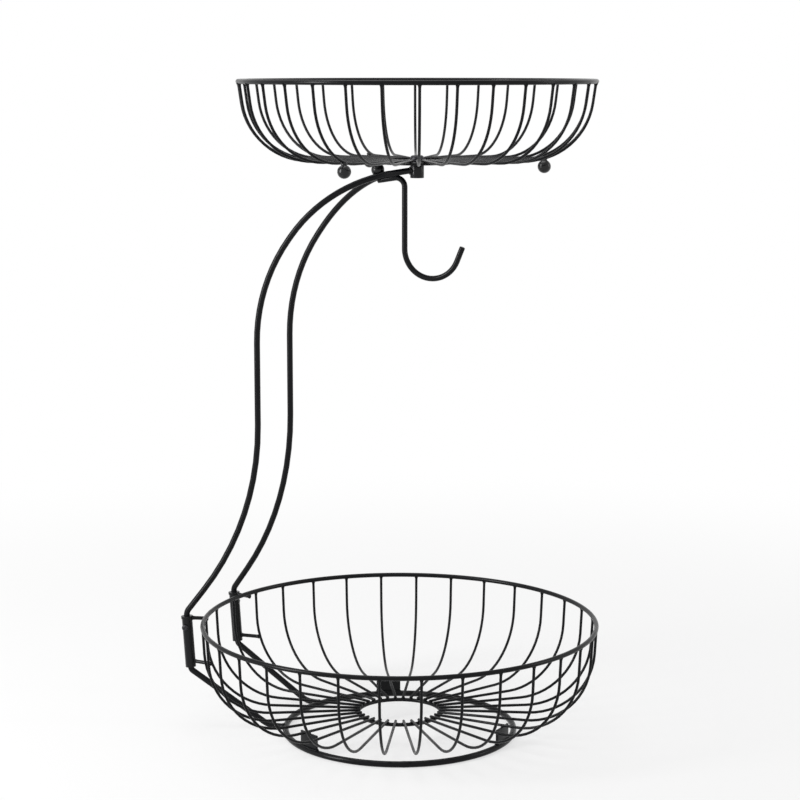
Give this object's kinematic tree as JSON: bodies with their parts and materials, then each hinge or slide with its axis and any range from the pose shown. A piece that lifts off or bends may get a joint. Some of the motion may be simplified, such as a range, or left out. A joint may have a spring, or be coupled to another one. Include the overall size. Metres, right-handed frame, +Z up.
{
  "type": "hanging fruit basket",
  "caption": "Countertop wire stand with a wide bowl basket on a base ring, curved posts, a hanging hook and a smaller bolted bowl basket above",
  "frame": {"origin": "centre of the base ring, on the surface that it stands on", "axes": "+Z up along the height; +Y towards the posts; +X to the right when seen from the front (-Y) side; the plane X = 0 is the mirror plane of the stand"},
  "size_m": [0.3148, 0.3296, 0.5141],
  "materials": {
    "coated_wire": "black coating with a soft sheen",
    "coated_fittings": "black coating with a soft sheen on turned and welded fittings",
    "coated_plate": "black coating with a soft sheen on thin plate",
    "gloss_ball": "gloss black coating",
    "dark_fasteners": "blackened steel"
  },
  "bodies": {
    "stand": {"base_ring": "coated_wire", "collar": "coated_fittings", "hanging_hook": "coated_wire", "leg_left": "coated_wire", "leg_right": "coated_wire", "lower_eye_ring": "coated_wire", "lower_link_left": "coated_fittings", "lower_link_right": "coated_fittings", "lower_ribs": "coated_wire", "lower_rim": "coated_wire", "post_left": "coated_wire", "post_right": "coated_wire", "rest_ball": "gloss_ball", "set_screw_left": "dark_fasteners", "set_screw_right": "dark_fasteners", "socket_left": "coated_fittings", "socket_right": "coated_fittings", "spacer_front": "coated_plate", "spacer_left": "coated_plate", "spacer_right": "coated_plate", "upper_link_left": "coated_fittings", "upper_link_right": "coated_fittings"},
    "upper_basket": {"upper_rim": "coated_wire", "upper_ribs": "coated_wire", "centre_plate": "coated_plate", "foot_back": "gloss_ball", "foot_left": "gloss_ball", "foot_front": "gloss_ball", "washer": "dark_fasteners"},
    "bolt": {"centre_bolt": "dark_fasteners"}
  },
  "joints": [
    {"name": "basket_lift", "type": "slide", "parent": "stand", "child": "upper_basket", "axis": [0, 0, 1], "range_m": [0, 0.06]},
    {"name": "bolt_turn", "type": "hinge", "parent": "upper_basket", "child": "bolt", "pos_m": [0, -0.0145, 0.4532], "axis": [0, 0, 1], "continuous": true}
  ]
}
